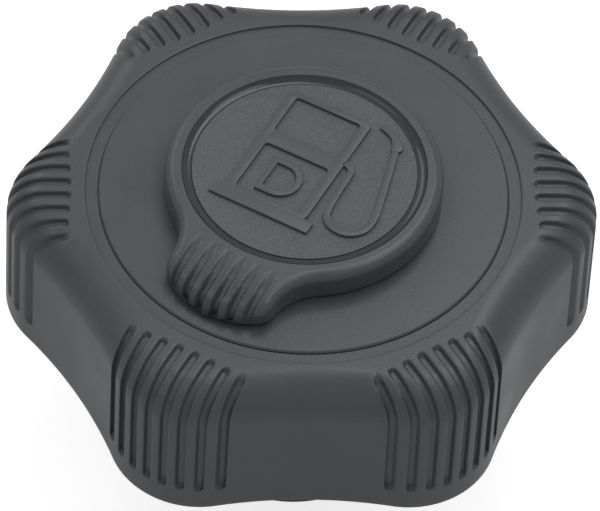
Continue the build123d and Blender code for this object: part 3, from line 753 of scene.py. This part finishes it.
def metal(name, color, rough, streak):
    """Worked metal: grain drawn out along Z, and fine unevenness."""
    mat = plastic(name, color, rough, METAL_GRAIN, 0.01, 0.06)
    nodes, links = mat.node_tree.nodes, mat.node_tree.links
    nodes["Principled BSDF"].inputs["Metallic"].default_value = 1
    coord = next(n for n in nodes if n.type == "TEX_COORD")
    grain = next(n for n in nodes if n.type == "TEX_NOISE" and n.inputs["Scale"].default_value == METAL_GRAIN)
    stretch = nodes.new("ShaderNodeMapping")
    stretch.inputs["Scale"].default_value = (1, 1, streak)
    links.new(coord.outputs["Object"], stretch.inputs["Vector"])
    links.new(stretch.outputs["Vector"], grain.inputs["Vector"])
    return mat


def linear(r, g, b):
    """Linear colour from 8-bit sRGB values, none of them near black."""
    return tuple(((v / 255 + 0.055) / 1.055) ** 2.4 for v in (r, g, b))


# Roughness, then scale and height of the grain; for a metal, roughness and how far the grain is drawn out
MATERIALS = {
    "grip_plastic": plastic("grip_plastic_look", linear(78, 80, 84), 0.34, 2200, 0.03),
    "cap_plastic": plastic("cap_plastic_look", linear(79, 81, 85), 0.32, 2600, 0.02),
    "inner_plastic": plastic("inner_plastic_look", linear(38, 38, 40), 0.45, 1800, 0.015),
    "natural_plastic": plastic("natural_plastic_look", linear(226, 223, 211), 0.4, 1500, 0.01),
    "zinc_steel": metal("zinc_steel_look", linear(190, 188, 178), 0.33, 0.1),
    "spring_steel": metal("spring_steel_look", linear(160, 160, 162), 0.28, 0.2),
    "lock_metal": metal("lock_metal_look", linear(182, 182, 186), 0.36, 0.3),
    "brass": metal("brass_look", linear(205, 170, 96), 0.3, 0.2),
    "seal_rubber": plastic("seal_rubber_look", linear(34, 34, 35), 0.72, 1200, 0.03),
}
FIELD = plastic("field_grain", linear(97, 98, 100), 0.42, 3600, 0.22, 0.05, 0.24)
RELIEF = plastic("relief_look", linear(83, 85, 88), 0.34, 2600, 0.03)
# Ring band round the field: glossy plastic, coloured darker than the cap plastic as painted shade of the
# ring's bowl
RING_PAINTED_SHADE_LOOK = plastic("ring_gloss_painted_shade", linear(60, 61, 65), 0.13, 2600, 0.005)


def paint_frame():
    """Gives every node of the frame the look of its material slot."""
    slots = {part["node"]: part["material_slot"] for part in frame["record"]["subparts"]}
    for name, node in frame["nodes"].items():
        look = MATERIALS[slots[name]]
        if not node.data.materials:
            node.data.materials.append(look)
        for index in range(len(node.data.materials)):
            node.data.materials[index] = look


def paint_pieces():
    """Gives the scene's own pieces that have no look yet that of the cover or of the grip."""
    for obj in bpy.data.objects:
        if obj.type == "MESH" and not obj.data.materials:
            obj.data.materials.append(MATERIALS["cap_plastic" if "cover" in obj.name else "grip_plastic"])


# ---------------------------------------------------------------- pictogram
# A petrol pump drawn upright, in millimetres from the cover's middle, then turned into place
PICTOGRAM_TURN = 330
RELIEF_Z = COVER_TOP - 0.3
RELIEF_EXTRUDE = 0.2
RELIEF_BEVEL = 0.1
PUMP_BODY = (-10.1, 5.3, -9.6, 14.1)        # left, right, low and high side, as for the next two
PUMP_WINDOW = (-8.55, 3.6, 4.9, 13.0)
PUMP_PANEL = (-8.3, 3.6, -8.9, 1.8)
PUMP_FOOT = (-11.6, 6.8, -12.0)             # left, right and low side; it joins the body's low side
FOOT_JOIN = -9.4                            # below this the foot takes over from the body's corners
BODY_CORNER = 1.0
WINDOW_CORNER = 0.7
LETTER_OUTSIDE = (-5.4, -7.7, -0.1, 1.2)    # left, low and high side, and how far right the round reaches
LETTER_INSIDE = (-4.5, -6.5, -1.1, 0.05)
HOSE_WIDTH = 1.15
HOSE = (
    (5.0, 4.3), (6.0, 4.2), (6.9, 3.4), (7.1, 2.0), (7.2, -1.0), (7.4, -4.5), (7.9, -7.0), (9.6, -8.6),
    (12.4, -8.7), (14.6, -6.9), (15.1, -4.0), (14.3, -0.2), (12.6, 6.2), (11.3, 10.8),
)
NOZZLE = (
    (11.85, 10.9), (12.2, 11.5), (11.9, 12.5), (10.6, 13.6), (8.6, 14.4), (6.9, 14.9), (6.7, 14.1),
    (8.1, 13.7), (9.4, 13.0), (10.2, 11.9), (10.6, 10.6),
)


def corner_path(sides, radius, steps=6):
    """Rectangle with rounded corners, as a closed polygon."""
    left, right, low, high = sides
    corners = [Vector(p) for p in ((left, low), (left, high), (right, high), (right, low))]
    path = []
    for k, here in enumerate(corners):
        to_last = (corners[k - 1] - here).normalized()
        to_next = (corners[(k + 1) % len(corners)] - here).normalized()
        reach = radius / tan(to_last.angle(to_next) / 2)
        start, end = here + to_last * reach, here + to_next * reach
        for step in range(steps + 1):
            f = step / steps
            path.append(start * (1 - f) ** 2 + here * 2 * f * (1 - f) + end * f * f)
    return path


def ribbon(centre, width):
    """Closed outline of a band of constant width along a smooth path."""
    left, right = [], []
    for k, point in enumerate(centre):
        before, after = centre[max(k - 1, 0)], centre[min(k + 1, len(centre) - 1)]
        along = (after - before).normalized()
        normal = Vector((-along.y, along.x))
        left.append(point + normal * width / 2)
        right.append(point - normal * width / 2)
    return left + right[::-1]


def smooth_path(points, steps=8):
    """Catmull-Rom curve through the points."""
    ends = [Vector(p) for p in (points[0], *points, points[-1])]
    path = []
    for k in range(1, len(ends) - 2):
        p0, p1, p2, p3 = ends[k - 1:k + 3]
        for step in range(steps):
            f = step / steps
            path.append(0.5 * (2 * p1 + (p2 - p0) * f + (2 * p0 - 5 * p1 + 4 * p2 - p3) * f * f
                               + (3 * p1 - p0 - 3 * p2 + p3) * f**3))
    return path + [ends[-1]]


def letter_d(left, low, high, reach, steps=14):
    """Outline of a plain D."""
    bend = (high - low) / 2
    straight = reach - bend
    path = [Vector((left, low)), Vector((left, high))]
    for k in range(steps + 1):
        a = radians(90 - 180 * k / steps)
        path.append(Vector((straight + bend * cos(a), (low + high) / 2 + bend * sin(a))))
    return path


def raised_shape(name, outlines):
    """Low relief on the cover's field: filled outlines with holes, slightly bevelled."""
    curve = bpy.data.curves.new(name, "CURVE")
    curve.dimensions = "2D"
    curve.fill_mode = "BOTH"
    curve.extrude = RELIEF_EXTRUDE * MM
    curve.bevel_depth = RELIEF_BEVEL * MM
    curve.bevel_resolution = 3
    curve.offset = -RELIEF_BEVEL * MM
    for outline in outlines:
        spline = curve.splines.new("POLY")
        spline.points.add(len(outline) - 1)
        for point, place in zip(spline.points, outline):
            point.co = (place.x * MM, place.y * MM, 0, 1)
        spline.use_cyclic_u = True
    source = bpy.data.objects.new(name + "_curve", curve)
    bpy.context.collection.objects.link(source)
    graph = bpy.context.evaluated_depsgraph_get()
    mesh = bpy.data.meshes.new_from_object(source.evaluated_get(graph))
    bpy.data.objects.remove(source)
    turn = Matrix.Rotation(radians(PICTOGRAM_TURN), 4, "Z")
    mesh.transform(Matrix.Translation((0, 0, RELIEF_Z * MM)) @ turn)
    obj = bpy.data.objects.new(name, mesh)
    bpy.context.collection.objects.link(obj)
    dress(obj, "cover", smooth_angle=50)
    obj.data.materials.clear()
    obj.data.materials.append(RELIEF)


def build_pictogram():
    """A petrol pump: body with window and panel, foot, letter D for diesel, and hose."""
    left, right, low = PUMP_BODY[:3]
    foot_left, foot_right, foot_low = PUMP_FOOT
    body = [p for p in corner_path(PUMP_BODY, BODY_CORNER) if p.y > FOOT_JOIN]
    foot = [(right, low), (foot_right, low), (foot_right, foot_low)]
    foot += [(foot_left, foot_low), (foot_left, low), (left, low)]
    body += [Vector(p) for p in foot]
    window = corner_path(PUMP_WINDOW, WINDOW_CORNER)
    panel = corner_path(PUMP_PANEL, WINDOW_CORNER)
    raised_shape("pump_body", [body, window, panel])
    raised_shape("pump_letter", [letter_d(*LETTER_OUTSIDE), letter_d(*LETTER_INSIDE)])
    raised_shape("pump_hose", [ribbon(smooth_path(HOSE), HOSE_WIDTH)])
    raised_shape("pump_nozzle", [[Vector(p) for p in NOZZLE]])


# ---------------------------------------------------------------- camera and light
# The camera as fitted to the photograph: directions, and a place in units of CAMERA_UNIT millimetres
CAMERA_UNIT = 36.5
CAMERA_RIGHT = (0.99837, 0.04457, 0.03559)
CAMERA_DOWN = (0.05704, -0.78013, -0.62298)
CAMERA_AHEAD = (0.0, 0.6240, -0.7814)
CAMERA_SHIFT = (0.0165, -0.3035, 21.5167)   # of the grip's top centre, along the three directions
CAMERA_TURN = -3.88                         # degrees about the cap's axis
FOCAL_PIXELS = 4702.9
PICTURE_WIDTH = 600
SENSOR_WIDTH = 36

# Floor, world and lamps, in metres, watts and shares of white
FLOOR_Z = -0.00005
FLOOR_HALF = 3.0
FLOOR_BASE = 0.7
FLOOR_SEEN = 0.72           # glow added to the floor for the camera, then for reflections
FLOOR_MIRRORED = 0.1
WORLD_LIGHT = 0.44
WORLD_SEEN = 1.1            # added to the world for the camera
LAMP_REACH = 1.0
LAMP_SIZE = 0.5
LAMP_AIM = 0.04
LAMPS = ((60, 62, 1.7), (120, 38, 0.9), (180, 62, 0.45), (0, 62, 1.0))    # azimuth, height, watts


def build_camera():
    """The photograph's camera, from the axis at the grip's top plane."""
    right, down, ahead = Vector(CAMERA_RIGHT), Vector(CAMERA_DOWN), Vector(CAMERA_AHEAD)
    shift = Vector(CAMERA_SHIFT) * CAMERA_UNIT
    place = -(right * shift.x + down * shift.y + ahead * shift.z)
    turn = Matrix.Rotation(radians(CAMERA_TURN), 3, "Z")
    matrix = Matrix([turn @ v for v in (right, -down, -ahead)]).transposed().to_4x4()
    matrix.translation = (turn @ place + Vector((0, 0, TOP_Z))) * MM
    data = bpy.data.cameras.new("photo_camera")
    data.sensor_fit = "HORIZONTAL"
    data.sensor_width = SENSOR_WIDTH
    data.lens = FOCAL_PIXELS * SENSOR_WIDTH / PICTURE_WIDTH
    camera = bpy.data.objects.new("photo_camera", data)
    bpy.context.collection.objects.link(camera)
    camera.matrix_world = matrix
    bpy.context.scene.camera = camera


def area_light(name, azimuth, height, power):
    """Round softbox that faces the cap, at a given azimuth and height in degrees."""
    data = bpy.data.lights.new(name, "AREA")
    data.shape = "DISK"
    data.size = LAMP_SIZE
    data.energy = power
    light = bpy.data.objects.new(name, data)
    bpy.context.collection.objects.link(light)
    x, y = polar(LAMP_REACH * cos(radians(height)), azimuth)
    away = Vector((x, y, LAMP_REACH * sin(radians(height))))
    light.location = away + Vector((0, 0, LAMP_AIM))
    light.rotation_euler = (-away).to_track_quat("-Z", "Y").to_euler()
    light.visible_camera = False


def glow_by_ray(nodes, links, seen, mirrored):
    """Strength that a surface or the world gives to camera rays and to glossy and transmission rays."""
    path = nodes.new("ShaderNodeLightPath")
    parts = []
    shares = {"Is Camera Ray": seen, "Is Glossy Ray": mirrored, "Is Transmission Ray": mirrored}
    for output, share in shares.items():
        part = nodes.new("ShaderNodeMath")
        part.operation = "MULTIPLY"
        part.inputs[1].default_value = share
        links.new(path.outputs[output], part.inputs[0])
        parts.append(part)
    total = parts[0]
    for part in parts[1:]:
        both = nodes.new("ShaderNodeMath")
        links.new(total.outputs["Value"], both.inputs[0])
        links.new(part.outputs["Value"], both.inputs[1])
        total = both
    return total.outputs["Value"]


def build_floor():
    """Plain pale floor under the cap's lower end; seen from below, it lets the underside show."""
    mesh = bpy.data.meshes.new("studio_floor")
    half = FLOOR_HALF
    corners = [(-half, -half, FLOOR_Z), (half, -half, FLOOR_Z), (half, half, FLOOR_Z), (-half, half, FLOOR_Z)]
    mesh.from_pydata(corners, [], [(0, 1, 2, 3)])
    floor = bpy.data.objects.new("studio_floor", mesh)
    bpy.context.collection.objects.link(floor)
    mat = bpy.data.materials.new("studio_white")
    mat.use_nodes = True
    nodes, links = mat.node_tree.nodes, mat.node_tree.links
    shader = nodes["Principled BSDF"]
    shader.inputs["Base Color"].default_value = (FLOOR_BASE, FLOOR_BASE, FLOOR_BASE, 1)
    shader.inputs["Roughness"].default_value = 0.9
    shader.inputs["Emission Color"].default_value = (1, 1, 1, 1)
    links.new(glow_by_ray(nodes, links, FLOOR_SEEN, FLOOR_MIRRORED), shader.inputs["Emission Strength"])
    side = nodes.new("ShaderNodeNewGeometry")
    clear = nodes.new("ShaderNodeBsdfTransparent")
    either = nodes.new("ShaderNodeMixShader")
    links.new(side.outputs["Backfacing"], either.inputs["Fac"])
    links.new(shader.outputs["BSDF"], either.inputs[1])
    links.new(clear.outputs["BSDF"], either.inputs[2])
    links.new(either.outputs["Shader"], nodes["Material Output"].inputs["Surface"])
    mesh.materials.append(mat)


def build_world():
    """Even white light, and a white background for the camera."""
    world = bpy.data.worlds.new("studio_world")
    bpy.context.scene.world = world
    world.use_nodes = True
    nodes, links = world.node_tree.nodes, world.node_tree.links
    back = nodes["Background"]
    back.inputs["Color"].default_value = (1, 1, 1, 1)
    level = nodes.new("ShaderNodeMath")
    level.operation = "ADD"
    level.inputs[1].default_value = WORLD_LIGHT
    links.new(glow_by_ray(nodes, links, WORLD_SEEN, 0.0), level.inputs[0])
    links.new(level.outputs["Value"], back.inputs["Strength"])


build_grip()
build_bearing()
build_cup_edge()
build_ribs()
build_bosses()
build_cover()
build_cover_post()
build_pictogram()
paint_frame()
paint_pieces()
build_camera()
build_floor()
build_world()
for number, (azimuth, height, power) in enumerate(LAMPS):
    area_light(f"softbox_{number + 1}", azimuth, height, power)
bpy.context.scene.view_settings.view_transform = "Standard"
